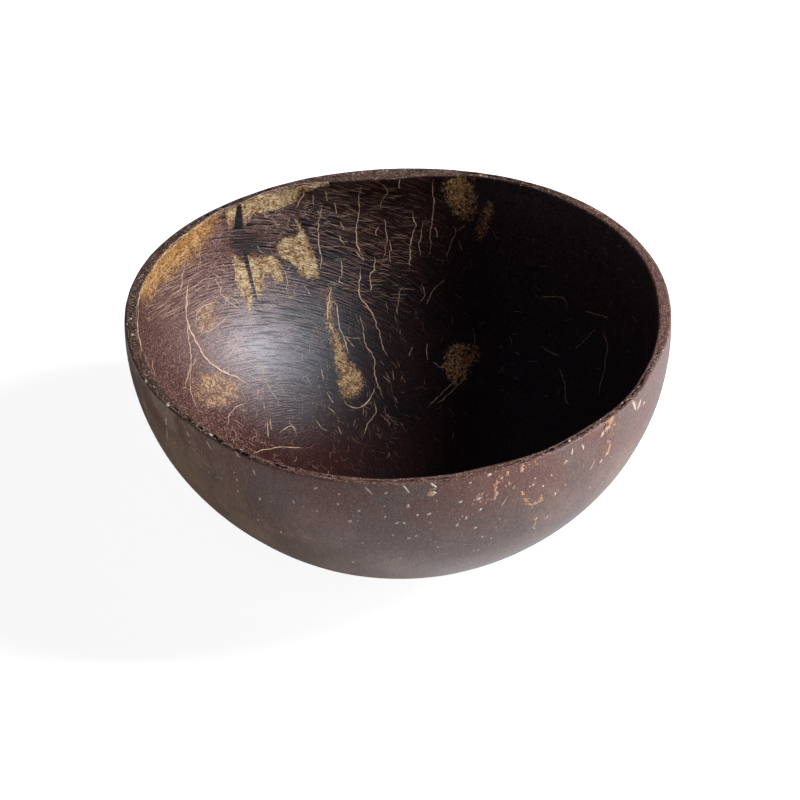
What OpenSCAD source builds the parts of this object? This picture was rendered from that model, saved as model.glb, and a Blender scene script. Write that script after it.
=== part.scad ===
/* [Bowl] */
// Height from the ground base to the cut rim
bowl_h = 48.3; // [44:0.1:54]
// Diameter at the widest ring of the shell
belly_d = 110.4; // [100:0.1:122]
// How far the widest ring lies below the rim
belly_drop = 4; // [2:0.1:7]
// How much of the natural pole was ground away to make the flat base
base_grind = 2.2; // [1.2:0.1:3.5]
// Thickness of the wall at its widest ring
wall = 2.7; // [2:0.1:4]
// Thickness left in the middle of the ground base
base_wall = 3; // [2:0.1:4.5]
// Rounding of the two edges of the rim
rim_round = 0.5; // [0.2:0.05:0.9]

/* [Inner skin] */
// Thickness of the pale inner skin that sanding left in the wall
skin_t = 0.3; // [0.2:0.05:0.5]
// How far the skin stops below the rounding of the rim
skin_drop = 0.15; // [0.05:0.05:0.5]

/* [Fibres] */
// Width of a fibre strand that lies on the inner wall
strand_w = 0.55; // [0.3:0.05:1]
// Height of a strand's ridge over the wall
strand_t = 0.22; // [0.1:0.02:0.4]
// Width of a fibre fleck on the outer wall
fleck_w = 0.7; // [0.4:0.05:1.2]
// Thickness of a fleck
fleck_t = 0.12; // [0.06:0.02:0.3]
// Hair gap between a fibre and the curved wall that carries it
fibre_gap = 0.02; // [0.01:0.01:0.06]

/* [Hidden] */
$fn = 96;

// One overrun serves every cut
over = 5;

// The outside and the inside are two half eggs about one centre
centre_h = bowl_h - belly_drop;
outer_r = belly_d / 2;
outer_drop = centre_h + base_grind;
inner_r = outer_r - wall;
inner_drop = centre_h - base_wall;
skin_top = bowl_h - rim_round - skin_drop;

// Radius of an egg at a height above or below its centre
function egg_r(r, drop, h) = r * sqrt(1 - pow(h / drop, 2));
rim_outer_r = egg_r(outer_r, outer_drop, belly_drop);
rim_inner_r = egg_r(inner_r, inner_drop, belly_drop);
base_r = egg_r(outer_r, outer_drop, centre_h);

// Volume that the bowl holds when it is full to the rim, in millilitres
egg_deep = belly_drop + inner_drop;
egg_cubes = (pow(belly_drop, 3) + pow(inner_drop, 3)) / (3 * pow(inner_drop, 2));
capacity_ml = PI * pow(inner_r, 2) * (egg_deep - egg_cubes) / 1000;
echo(capacity_ml = capacity_ml, base_d = 2 * base_r, rim_d = 2 * rim_outer_r);

// A place on the wall is [turn, depth]: the share of a full turn about the axis, counted from the right
// towards the back, and the depth as a share of the way from the rim down to the middle of the base
rim_dip = atan(belly_drop / inner_r);
function turn(at) = 360 * at[0];
function dip(at) = at[1] * (90 + rim_dip) - rim_dip;
function ray(at) = [cos(turn(at)) * cos(dip(at)), sin(turn(at)) * cos(dip(at)), -sin(dip(at))];
function egg_reach(r, drop, dip) = 1 / sqrt(pow(cos(dip) / r, 2) + pow(sin(dip) / drop, 2));

// Outlines of the skins, seen from the middle of the bowl, as shares of the inner radius:
// across, towards a greater turn, and up. What lies above 0.2 runs past the rim and is cut there.
seam_place_shares = [0.364, 0.13];
seam_shares = [
    [-0.008, 0.3], [-0.008, 0.18], [-0.019, 0.115], [-0.048, 0.093], [-0.06, 0.04], [-0.045, -0.005],
    [-0.015, -0.02], [-0.01, -0.06], [-0.001, -0.14], [0.004, -0.235],
    [0.008, -0.2], [0.004, -0.14], [-0.004, -0.055], [0.008, -0.02], [0.04, 0.03], [0.052, 0.09],
    [0.034, 0.125], [0.013, 0.18], [0.006, 0.3]
];
rim_wedge_shares = [
    [0.012, 0.3], [0.02, 0.18], [0.038, 0.135], [0.062, 0.18], [0.075, 0.3]
];
rim_back_shares = [
    [-0.014, 0.3], [-0.014, 0.18], [-0.026, 0.12], [-0.05, 0.122], [-0.12, 0.13], [-0.19, 0.115],
    [-0.25, 0.118], [-0.29, 0.145], [-0.31, 0.19], [-0.315, 0.3]
];
seam_left_shares = [
    [0.04, 0.005], [0.055, -0.02], [0.06, -0.11], [0.06, -0.17], [0.055, -0.225],
    [0.03, -0.2], [0.014, -0.14], [0.003, -0.055]
];
seam_right_shares = [
    [-0.02, -0.03], [-0.05, -0.05], [-0.09, -0.045], [-0.125, -0.055], [-0.165, -0.13], [-0.145, -0.18],
    [-0.08, -0.165], [-0.067, -0.115], [-0.03, -0.155], [-0.007, -0.22], [-0.01, -0.14]
];
rim_left_place_shares = [0.433, 0.025];
rim_left_shares = [
    [0.3, 0.25], [0.285, 0.06], [0.23, 0.03], [0.09, -0.03], [-0.05, -0.055], [-0.145, -0.075],
    [-0.25, -0.03], [-0.29, 0.01], [-0.32, 0.07], [-0.33, 0.25]
];
square_place_shares = [0.319, 0.195];
square_shares = [
    [0.1, 0.04], [0.045, 0.085], [0, 0.145], [-0.03, 0.075], [-0.05, 0.01], [-0.063, -0.09],
    [-0.04, -0.125], [0.02, -0.09], [0.045, -0.045], [0.085, -0.01]
];
tail_place_shares = [0.308, 0.49];
tail_shares = [
    [0.015, 0.2], [-0.005, 0.28], [-0.028, 0.2], [-0.02, 0.1], [0, -0.01], [-0.05, -0.08],
    [-0.065, -0.16], [-0.035, -0.215], [0.05, -0.2], [0.055, -0.09], [0.035, 0.04]
];
floor_place_shares = [0.183, 0.5];
floor_shares = [
    [0.06, -0.055], [0.06, 0.025], [0.025, 0.065], [-0.03, 0.057], [-0.063, 0.01], [-0.053, -0.065],
    [0.005, -0.095]
];
back_place_shares = [0.206, 0.065];
back_shares = [
    [0.105, 0.2], [0.1, 0], [0.065, -0.05], [0.02, -0.06], [0, -0.107], [-0.055, -0.1], [-0.065, -0.01],
    [-0.06, 0.2]
];
strip_place_shares = [0.189, 0.12];
strip_shares = [
    [0.005, 0.12], [-0.025, 0.06], [-0.028, -0.06], [0.005, -0.11], [0.03, -0.03], [0.012, 0.05]
];
spot_place_shares = [0.411, 0.225];
spot_shares = [
    [0.05, 0.02], [-0.01, 0.045], [-0.065, 0.02], [-0.05, -0.035], [0.03, -0.065], [0.08, -0.04]
];
low_place_shares = [0.45, 0.375];
low_shares = [
    [0.08, 0.1], [-0.03, 0.08], [-0.115, -0.01], [-0.14, -0.095], [-0.055, -0.105], [0.065, -0.05],
    [0.14, 0.045]
];

// Routes of the strands: places on the inner wall, from end to end
strand_steps = 2;
left_route_shares = [
    [[0.411, 0.12], [0.425, 0.17], [0.428, 0.22], [0.433, 0.29], [0.433, 0.34], [0.425, 0.38], [0.417, 0.43]],
    [[0.428, 0.18], [0.436, 0.24], [0.444, 0.27], [0.456, 0.29], [0.478, 0.33]],
    [[0.414, 0.06], [0.425, 0.11], [0.436, 0.1]],
    [[0.389, 0.26], [0.403, 0.27], [0.419, 0.26]]
];
back_route_shares = [
    [[0.275, 0.04], [0.278, 0.12], [0.278, 0.17], [0.275, 0.24]],
    [[0.258, 0.04], [0.256, 0.07], [0.261, 0.1], [0.258, 0.15], [0.258, 0.19], [0.256, 0.22]],
    [[0.225, 0.03], [0.225, 0.1], [0.228, 0.19], [0.228, 0.24]],
    [[0.239, 0.12], [0.236, 0.15], [0.242, 0.19], [0.242, 0.27]],
    [[0.208, 0.17], [0.211, 0.2], [0.214, 0.24]],
    [[0.303, 0.07], [0.306, 0.12]]
];
floor_route_shares = [
    [[0.278, 0.28], [0.283, 0.34], [0.275, 0.4], [0.272, 0.49], [0.272, 0.58]],
    [[0.267, 0.23], [0.272, 0.28], [0.272, 0.33]],
    [[0.214, 0.29], [0.225, 0.32], [0.228, 0.36]],
    [[0.203, 0.68], [0.186, 0.61], [0.169, 0.57]]
];
right_route_shares = [
    [[0.072, 0.25], [0.058, 0.27], [0.047, 0.31], [0.025, 0.37]],
    [[0.078, 0.27], [0.078, 0.3], [0.083, 0.34]],
    [[0.136, 0.27], [0.117, 0.25], [0.111, 0.27]],
    [[0.086, 0.41], [0.067, 0.43], [0.047, 0.45]]
];

// Flecks on the outer wall, in clusters: the place of a cluster's first fleck, and how many it has
fleck_sides = 8;
fleck_long_share = 2.4;
fleck_shrink_share = 0.12;
fleck_lean_angle = 60;
cluster_step_share = 0.0103;
cluster_sizes = 4;
cluster_rows = 3;
cluster_row_share = 0.034;
// Two angles that never fall into step, so that a cluster looks scattered
scatter_turn_angle = 97;
scatter_lean_angle = 131;
cluster_place_shares = [
    [0.567, 0.07], [0.597, 0.03], [0.636, 0.03], [0.661, 0.04], [0.708, 0.18], [0.769, 0.04],
    [0.803, 0.04], [0.822, 0.1], [0.844, 0.03], [0.872, 0.03], [0.903, 0.03], [0.95, 0.2],
    [0.056, 0.1], [0.172, 0.16], [0.267, 0.08], [0.356, 0.2], [0.458, 0.1]
];
cluster_counts = [3, 4, 2, 4, 3, 2, 5, 4, 3, 5, 3, 3, 4, 4, 3, 4, 4];

// One egg, from the base plane up to a top
module egg(r, drop, top)
    rotate_extrude()
        intersection() {
            translate([0, centre_h])
                scale([1, drop / r])
                    circle(r);
            square([2 * r, top]);
        }

module cavity() egg(inner_r, inner_drop, bowl_h + over);

// The corner that rounding takes off an edge of the rim, with the edge at the origin
module edge_waste(side)
    mirror([side, 0])
        difference() {
            translate([-rim_round, -rim_round])
                square(rim_round + over);
            translate([-rim_round, -rim_round])
                circle(rim_round);
        }

module rim_waste()
    rotate_extrude() {
        translate([rim_outer_r, bowl_h])
            edge_waste(0);
        translate([rim_inner_r, bowl_h])
            edge_waste(1);
    }

// A straight prism from the middle of the bowl out through the wall, with a skin's outline
module outline_prism(at, shares)
    translate([0, 0, centre_h])
        rotate([0, dip(at), turn(at)])
            rotate([90, 0, 90])
                linear_extrude(belly_d)
                    polygon(inner_r * shares);

// What a skin fills: a thin layer of the wall, behind the skin's outline
module skin_pocket(at, shares)
    intersection() {
        egg(inner_r + skin_t, inner_drop + skin_t, skin_top);
        outline_prism(at, shares);
    }

module skin(at, shares)
    difference() {
        skin_pocket(at, shares);
        cavity();
    }

// A strand is a low ridge with three corners that follows the inner wall
function wall_place(at, lift) =
    [0, 0, centre_h] + ray(at) * (egg_reach(inner_r, inner_drop, dip(at)) - lift);
function route_step(route, i) =
    let (k = min(floor(i / strand_steps), len(route) - 2), share = i / strand_steps - k)
    route[k] * (1 - share) + route[k + 1] * share;
function unit(v) = v / norm(v);
function strand_ring(places, i) =
    let (
        last = len(places) - 1,
        way = wall_place(places[min(i + 1, last)], 0) - wall_place(places[max(i - 1, 0)], 0),
        side = unit(cross(way, ray(places[i]))) * strand_w / 2,
        foot = wall_place(places[i], fibre_gap)
    )
    [foot - side, foot + side, wall_place(places[i], fibre_gap + strand_t)];

module strand(route) {
    places = [for (i = [0 : (len(route) - 1) * strand_steps]) route_step(route, i)];
    rings = [for (i = [0 : len(places) - 1]) strand_ring(places, i)];
    last = 3 * (len(rings) - 1);
    sides = [
        for (i = [0 : len(rings) - 2], k = [0 : 2])
            let (a = 3 * i + k, b = 3 * i + (k + 1) % 3)
            each [[a, b, b + 3], [a, b + 3, a + 3]]
    ];
    polyhedron([for (ring = rings) each ring], concat([[0, 2, 1]], sides, [[last, last + 1, last + 2]]));
}

// A fleck is a thin long oval that lies on the outer wall, square to the wall's own slope
module fleck(at, lean, size_share) {
    out = ray(at);
    reach = egg_reach(outer_r, outer_drop, dip(at));
    slope = atan2(norm([out[0], out[1]]) / pow(outer_r, 2), out[2] / pow(outer_drop, 2));
    translate([0, 0, centre_h] + out * (reach + fibre_gap))
        rotate([0, slope, turn(at)])
            rotate(lean)
                linear_extrude(fleck_t)
                    scale([fleck_long_share, 1] * size_share)
                        circle(d = fleck_w, $fn = fleck_sides);
}

module fleck_cluster(at, count)
    for (i = [0 : count - 1]) {
        along = cluster_step_share * (i - 1 + sin(scatter_turn_angle * i));
        down = cluster_row_share * (i % cluster_rows);
        lean = fleck_lean_angle * sin(scatter_lean_angle * i + turn(at));
        fleck(at + [along, down], lean, 1 - fleck_shrink_share * (i % cluster_sizes));
    }

module shell()
    color("#3b2723")
        difference() {
            egg(outer_r, outer_drop, bowl_h);
            cavity();
            rim_waste();
            skin_pocket(seam_place_shares, seam_shares);
            skin_pocket(seam_place_shares, rim_wedge_shares);
            skin_pocket(seam_place_shares, rim_back_shares);
            skin_pocket(seam_place_shares, seam_left_shares);
            skin_pocket(seam_place_shares, seam_right_shares);
            skin_pocket(rim_left_place_shares, rim_left_shares);
            skin_pocket(square_place_shares, square_shares);
            skin_pocket(tail_place_shares, tail_shares);
            skin_pocket(floor_place_shares, floor_shares);
            skin_pocket(back_place_shares, back_shares);
            skin_pocket(strip_place_shares, strip_shares);
            skin_pocket(spot_place_shares, spot_shares);
            skin_pocket(low_place_shares, low_shares);
        }

module seam_fibre() color("#1c1413") skin(seam_place_shares, seam_shares);

module rim_skin_left() color("#a8743c") skin(rim_left_place_shares, rim_left_shares);

module rim_skin_wedge() color("#b99a68") skin(seam_place_shares, rim_wedge_shares);

module rim_skin_back() color("#a98d5c") skin(seam_place_shares, rim_back_shares);

module seam_skin_left() color("#c4a876") skin(seam_place_shares, seam_left_shares);

module seam_skin_right() color("#b59a68") skin(seam_place_shares, seam_right_shares);

module square_skin() color("#ab8f60") skin(square_place_shares, square_shares);

module tail_skin() color("#b08a55") skin(tail_place_shares, tail_shares);

module floor_skin() color("#8a6232") skin(floor_place_shares, floor_shares);

module back_skin() color("#6e5534") skin(back_place_shares, back_shares);

module back_skin_strip() color("#6b4126") skin(strip_place_shares, strip_shares);

module left_skin_spot() color("#8f5b38") skin(spot_place_shares, spot_shares);

module left_skin_low() color("#8f5b38") skin(low_place_shares, low_shares);

module left_strands() color("#c08552") for (route = left_route_shares) strand(route);

module back_strands() color("#8f7350") for (route = back_route_shares) strand(route);

module floor_strands() color("#a08252") for (route = floor_route_shares) strand(route);

module right_strands() color("#5f5140") for (route = right_route_shares) strand(route);

module outer_flecks()
    color("#c9a071")
        for (i = [0 : len(cluster_counts) - 1])
            fleck_cluster(cluster_place_shares[i], cluster_counts[i]);

shell();
seam_fibre();
rim_skin_left();
rim_skin_wedge();
rim_skin_back();
seam_skin_left();
seam_skin_right();
square_skin();
tail_skin();
floor_skin();
back_skin();
back_skin_strip();
left_skin_spot();
left_skin_low();
left_strands();
back_strands();
floor_strands();
right_strands();
outer_flecks();
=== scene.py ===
import math
import random

import bmesh
import bpy
from mathutils import Matrix, Vector, noise
from mathutils.bvhtree import BVHTree
from mathutils.kdtree import KDTree


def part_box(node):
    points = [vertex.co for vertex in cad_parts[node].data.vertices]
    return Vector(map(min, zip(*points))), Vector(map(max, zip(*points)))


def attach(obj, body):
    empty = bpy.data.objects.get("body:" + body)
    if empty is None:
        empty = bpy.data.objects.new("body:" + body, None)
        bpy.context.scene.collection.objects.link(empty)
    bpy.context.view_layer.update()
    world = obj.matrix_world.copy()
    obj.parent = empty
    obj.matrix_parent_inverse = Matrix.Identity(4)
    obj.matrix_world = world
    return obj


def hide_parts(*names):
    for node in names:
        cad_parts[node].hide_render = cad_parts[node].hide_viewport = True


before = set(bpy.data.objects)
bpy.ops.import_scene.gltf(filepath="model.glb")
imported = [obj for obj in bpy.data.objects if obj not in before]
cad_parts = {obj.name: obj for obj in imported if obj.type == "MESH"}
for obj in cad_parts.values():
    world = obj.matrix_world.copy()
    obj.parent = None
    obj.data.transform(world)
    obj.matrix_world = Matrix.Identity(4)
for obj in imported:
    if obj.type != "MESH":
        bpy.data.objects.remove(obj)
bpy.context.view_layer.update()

MM = 0.001

# Sizes of the bowl, in millimetres; the outer ones come from the frame
shell_low, shell_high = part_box("shell")
BOWL_H = shell_high.z / MM
BELLY_R = (shell_high.x - shell_low.x) / 2 / MM
BELLY_DROP = 4.0
BASE_GRIND = 2.2
WALL = 2.7
BASE_WALL = 3.0
RIM_ROUND = 0.5
CENTRE_H = BOWL_H - BELLY_DROP
OUTER_DROP = CENTRE_H + BASE_GRIND
INNER_R = BELLY_R - WALL
INNER_DROP = CENTRE_H - BASE_WALL

# The photograph's camera: its picture is 800 pixels square
PICTURE_PX = 800
SENSOR_MM = 36.0
FOCAL_PX = 2382.6
CAMERA_RISE = math.radians(36.88)
CAMERA_ROLL = math.radians(-1.356)
CAMERA_AT = Vector((-0.184, -393.217, BOWL_H + 272.383)) * MM

# The nut's pole on the inner wall, in millimetres: its growth lines ring the axis from the middle to it
POLE = (-19, 3, 7.5)
GRAIN_AXIS = Vector((POLE[0], POLE[1], POLE[2] - CENTRE_H)).normalized()
# Radius at which a turn round that axis counts as a length, and the widths of its grooves and ridges
RING_R = 40.0
GROOVE_WIDTH = 0.30
RIDGE_WIDTH = 0.30


def linear(hex_colour):
    """A hex sRGB colour as linear values with alpha."""
    parts = [int(hex_colour[i:i + 2], 16) / 255 for i in (1, 3, 5)]
    return [p / 12.92 if p <= 0.04045 else ((p + 0.055) / 1.055) ** 2.4 for p in parts] + [1.0]


def per_mm(size_mm):
    """Texture scale at which one cell of a pattern measures size_mm."""
    return 1.0 / (size_mm * MM)


def add(tree, kind, inputs=None, **settings):
    """Adds a shader node, sets its properties and sockets, and gives its first live output."""
    node = tree.nodes.new("ShaderNode" + kind)
    for name, value in settings.items():
        setattr(node, name, value)
    for socket, value in (inputs or {}).items():
        if isinstance(value, bpy.types.NodeSocket):
            tree.links.new(value, node.inputs[socket])
        else:
            node.inputs[socket].default_value = value
    return next((output for output in node.outputs if output.enabled), None)


def smooth_step(low, high, value):
    share = min(max((value - low) / (high - low), 0.0), 1.0)
    return share * share * (3 - 2 * share)


def toward(turn, dip):
    """The direction at a turn round the bowl and a dip below the level, in radians."""
    return Vector((math.cos(turn) * math.cos(dip), math.sin(turn) * math.cos(dip), -math.sin(dip)))


# Camera

def make_camera():
    data = bpy.data.cameras.new("camera")
    data.sensor_width = SENSOR_MM
    data.lens = FOCAL_PX / PICTURE_PX * SENSOR_MM
    data.clip_start = 0.01
    data.clip_end = 20.0
    camera = bpy.data.objects.new("camera", data)
    bpy.context.scene.collection.objects.link(camera)
    tilt = Matrix.Rotation(math.radians(90) - CAMERA_RISE, 4, "X")
    camera.matrix_world = Matrix.Translation(CAMERA_AT) @ tilt @ Matrix.Rotation(CAMERA_ROLL, 4, "Z")
    bpy.context.scene.camera = camera
    return camera.matrix_world.copy()


camera_place = make_camera()
camera_turn = camera_place.to_3x3()


def pixel_ray(x, y):
    """Direction from the camera through a pixel of the 800 x 800 picture."""
    half = PICTURE_PX / 2
    return (camera_turn @ Vector((x - half, half - y, -FOCAL_PX))).normalized()


# The shell: one wall turned from its profile, then given the nut's own unevenness

SPIN_STEPS = 300
INNER_RINGS = 64
OUTER_RINGS = 60
ROUND_STEPS = 4
RIM_RINGS = 5
BASE_RINGS = 8
INSIDE, RIM, OUTSIDE, BASE = range(4)
# The nut is slightly three-cornered, oval and wavy: share of the radius, number of lobes, turn of a lobe
LOBES = [(0.0145, 3, 36), (0.0033, 2, 98), (0.0027, 4, 59)]
# Dents and rises of the cut rim: turn, half width in degrees, rise and outward shift in millimetres
RIM_BUMPS = [
    (224, 9, 0.2, -0.2), (291, 6, 0.1, -0.1), (309, 9, 0.2, -0.35), (338, 7, 0.4, -0.3), (45, 30, 0.0, 0.25),
    (105, 15, 0.1, 0.2), (150, 30, 0.0, 0.2), (203, 7, -0.15, 0.15),
]
# Thickness of the wall at the rim in millimetres, by turn
RIM_WALL = [
    (0, 2.7), (20, 2.4), (45, 2.4), (62, 1.7), (72, 1.8), (80, 2.9), (91, 4.3), (101, 3.8),
    (110, 2.7), (119, 1.8), (133, 1.8), (150, 2.5), (172, 2.5), (195, 2.8), (210, 2.4), (222, 1.7),
    (236, 1.5), (262, 1.9), (284, 2.4), (303, 1.8), (338, 1.8), (350, 2.5),
]
# Millimetres below the top over which the rim's dents and thickness fade out
RIM_REACH = 9.0
# Above the ground base the lobes grow from this share to their full depth over this height in millimetres
BASE_LOBES = 0.3
BASE_FADE = 4.0
# The wall's unevenness: size and rise of its swells, ripples and saw marks, in millimetres
SWELL_MM, SWELL_RISE = 11.0, 0.10
RIPPLE_MM, RIPPLE_RISE = 2.6, 0.03
SAW_MM, SAW_RISE = 1.7, 0.05
SAW_SHIFT = Vector((7, 3, 5))
# Share of the ripples away from the rim, radius inside which unevenness fades, and height that stays flat
RIPPLE_SHARE = 0.3
CALM_R = 12.0
FLAT_H = 0.5


def round_difference(turn, other):
    return abs((turn - other + 180) % 360 - 180)


def rim_bump(turn, which):
    total = 0.0
    for bump in RIM_BUMPS:
        away = round_difference(turn, bump[0]) / bump[1]
        if away < 2:
            total += bump[which] * (0.5 + 0.5 * math.cos(math.pi * away / 2))
    return total


def rim_wall(turn):
    turn %= 360
    for i, (start, thick) in enumerate(RIM_WALL):
        end, next_thick = RIM_WALL[(i + 1) % len(RIM_WALL)]
        span = (end - start) % 360
        if (turn - start) % 360 <= span:
            share = smooth_step(0, 1, ((turn - start) % 360) / span)
            return thick + (next_thick - thick) * share
    return WALL


def egg_arc(radius, drop, top, bottom, rings):
    """Points of a half egg's side from one height to another, evenly turned."""
    start = math.asin((CENTRE_H - top) / drop)
    end = math.asin(min((CENTRE_H - bottom) / drop, 1.0))
    angles = [start + (end - start) * i / rings for i in range(rings + 1)]
    return [(radius * math.cos(a), CENTRE_H - drop * math.sin(a)) for a in angles]


def shell_profile():
    """The wall's section from the middle of the inside, over the rim, to the middle of the base."""
    turn_h = BOWL_H - RIM_ROUND
    inner = egg_arc(INNER_R, INNER_DROP, turn_h, CENTRE_H - INNER_DROP, INNER_RINGS)[::-1]
    outer = egg_arc(BELLY_R, OUTER_DROP, turn_h, 0.0, OUTER_RINGS)
    inner_r, outer_r = inner[-1][0], outer[0][0]
    steps = [math.pi / 2 * (i + 1) / ROUND_STEPS for i in range(ROUND_STEPS)]
    over_in = [(inner_r + RIM_ROUND * (1 - math.cos(a)), turn_h + RIM_ROUND * math.sin(a)) for a in steps]
    over_out = [(outer_r - RIM_ROUND * (1 - math.cos(a)), turn_h + RIM_ROUND * math.sin(a)) for a in steps]
    flat_start, flat_end = over_in[-1][0], over_out[-1][0]
    flat = [(flat_start + (flat_end - flat_start) * i / RIM_RINGS, BOWL_H) for i in range(1, RIM_RINGS)]
    base_r = outer[-1][0]
    base = [(base_r * (1 - i / BASE_RINGS), 0.0) for i in range(1, BASE_RINGS + 1)]
    return inner + over_in + flat + over_out[::-1] + outer + base


def wear_vertex(place, is_inside):
    """Moves a point of the turned wall to where the grown nut and the saw left it."""
    radius = math.hypot(place.x, place.y) / MM
    height = place.z / MM
    turn = math.degrees(math.atan2(place.y, place.x))
    near_rim = smooth_step(BOWL_H - RIM_REACH, BOWL_H - RIM_ROUND, height)
    off_base = smooth_step(0.0, BASE_FADE, height)
    stretch = 1 + sum(share * math.cos(count * math.radians(turn - at)) for share, count, at in LOBES)
    if is_inside:
        radius -= (rim_wall(turn) - WALL) * near_rim
    radius *= 1 + (stretch - 1) * max(off_base, BASE_LOBES)
    radius += rim_bump(turn, 3) * near_rim
    height += rim_bump(turn, 2) * near_rim
    heading = math.radians(turn)
    moved = Vector((radius * math.cos(heading), radius * math.sin(heading), height))
    uneven = noise.noise(moved / SWELL_MM) * SWELL_RISE
    uneven += noise.noise(moved / RIPPLE_MM) * RIPPLE_RISE * (RIPPLE_SHARE + near_rim)
    if height > FLAT_H:
        away = Vector((moved.x, moved.y, 0.0)).normalized()
        moved += away * uneven * min(radius / CALM_R, 1.0)
        moved.z += noise.noise(moved / SAW_MM + SAW_SHIFT) * SAW_RISE * near_rim
    return moved * MM


def make_shell():
    profile = shell_profile()
    bm = bmesh.new()
    along = bm.verts.layers.float.new("along")
    line = []
    length = 0.0
    for i, (radius, height) in enumerate(profile):
        if i:
            length += math.dist(profile[i - 1], profile[i])
        vert = bm.verts.new((radius * MM, 0.0, height * MM))
        vert[along] = length
        line.append(vert)
    for first, second in zip(line, line[1:]):
        bm.edges.new((first, second))
    rim_from = line[INNER_RINGS + 1][along]
    rim_to = line[INNER_RINGS + 2 * ROUND_STEPS + RIM_RINGS - 2][along]
    base_from = line[-BASE_RINGS - 1][along]
    bmesh.ops.spin(
        bm, geom=bm.verts[:] + bm.edges[:], cent=(0, 0, 0), axis=(0, 0, 1),
        angle=math.tau, steps=SPIN_STEPS, use_merge=True,
    )
    bmesh.ops.remove_doubles(bm, verts=bm.verts[:], dist=1e-7)
    bmesh.ops.recalc_face_normals(bm, faces=bm.faces[:])
    ring = bm.verts.layers.float_vector.new("ring")
    for vert in bm.verts:
        turn = math.atan2(vert.co.y, vert.co.x)
        vert[ring] = Vector((math.cos(turn) * BELLY_R, math.sin(turn) * BELLY_R, vert[along])) * MM
    for face in bm.faces:
        middle = sum(v[along] for v in face.verts) / len(face.verts)
        face.material_index = INSIDE if middle < rim_from else RIM if middle < rim_to else OUTSIDE
        if middle > base_from:
            face.material_index = BASE
    for vert in bm.verts:
        vert.co = wear_vertex(vert.co, vert[along] < (rim_from + rim_to) / 2)
    return bm


def piece_from(bm, name, materials, slot, *nodes):
    """Turns a bmesh into a finished piece that rides on the bowl."""
    for face in bm.faces:
        face.smooth = True
    mesh = bpy.data.meshes.new(name)
    bm.to_mesh(mesh)
    bm.free()
    piece = bpy.data.objects.new(name, mesh)
    bpy.context.scene.collection.objects.link(piece)
    for material in materials:
        mesh.materials.append(material)
    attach(piece, "root")
    if nodes:
        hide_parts(*nodes)
    return piece


shell_bm = make_shell()
shell_tree = BVHTree.FromBMesh(shell_bm)
MIDDLE = Vector((0, 0, CENTRE_H * MM))


def wall_under_pixel(x, y):
    """Where the line of sight through a pixel meets the bowl: place and normal."""
    return shell_tree.ray_cast(camera_place.translation, pixel_ray(x, y))[:2]


# Materials

SHELL_IOR = 1.5
COAT_ROUGHNESS = 0.43
# Gloss of the inner wall where it is dry, and what a full share of oil adds to it
DRY_GLOSS = 0.2
OIL_GLOSS = 0.6


def new_material(name):
    material = bpy.data.materials.new(name)
    material.use_nodes = True
    tree = material.node_tree
    tree.nodes.clear()
    return material, tree


def share_of(tree, strength, *steps):
    """Strength times a smooth step of each pattern, from its value at none to its value at full."""
    for pattern, none, full in steps:
        inputs = {"Value": pattern, "From Min": none, "From Max": full, "To Max": strength}
        strength = add(tree, "MapRange", inputs, interpolation_type="SMOOTHSTEP")
    return strength


def stained(tree, colour, *stains):
    """Lays stains over a colour in turn: each has a hex colour or a socket, a strength and its steps."""
    for stain, strength, *steps in stains:
        laid = linear(stain) if isinstance(stain, str) else stain
        inputs = {0: share_of(tree, strength, *steps), 6: colour, 7: laid}
        colour = add(tree, "Mix", inputs, data_type="RGBA")
    return colour


def object_place(tree):
    """A point's place in the frame, and its X, Y and Z."""
    where = add(tree, "TexCoord").node.outputs["Object"]
    part = add(tree, "SeparateXYZ", {"Vector": where}).node.outputs
    return where, part["X"], part["Y"], part["Z"]


def ring_place(tree, scale):
    """Coordinates round the bowl and along its profile, each stretched by its scale."""
    ring = add(tree, "Attribute", attribute_name="ring").node.outputs["Vector"]
    return add(tree, "Mapping", {"Vector": ring, "Scale": scale})


def grain_place(tree, stretch):
    """Coordinates in which a pattern is drawn out along rings round the nut's pole."""
    where = add(tree, "TexCoord").node.outputs["Object"]
    lean = (-GRAIN_AXIS).to_track_quat("Z", "Y").to_euler()
    inputs = {"Vector": where, "Location": (0, 0, CENTRE_H * MM), "Rotation": lean}
    upright = add(tree, "Mapping", inputs, vector_type="TEXTURE")
    part = add(tree, "SeparateXYZ", {"Vector": upright}).node.outputs
    flat = add(tree, "CombineXYZ", {"X": part["X"], "Y": part["Y"]})
    radius = add(tree, "VectorMath", {0: flat}, operation="LENGTH")
    # The turn's jump from half a turn to minus half a turn lies at the near wall
    behind = add(tree, "Math", {0: part["Y"], 1: -1.0}, operation="MULTIPLY")
    turn = add(tree, "Math", {0: part["X"], 1: behind}, operation="ARCTAN2")
    dip = add(tree, "Math", {0: part["Z"], 1: radius}, operation="ARCTAN2")
    along = add(tree, "Math", {0: turn, 1: RING_R * MM / stretch}, operation="MULTIPLY")
    across = add(tree, "Math", {0: dip, 1: RING_R * MM}, operation="MULTIPLY")
    return add(tree, "CombineXYZ", {"X": along, "Y": across})


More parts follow.
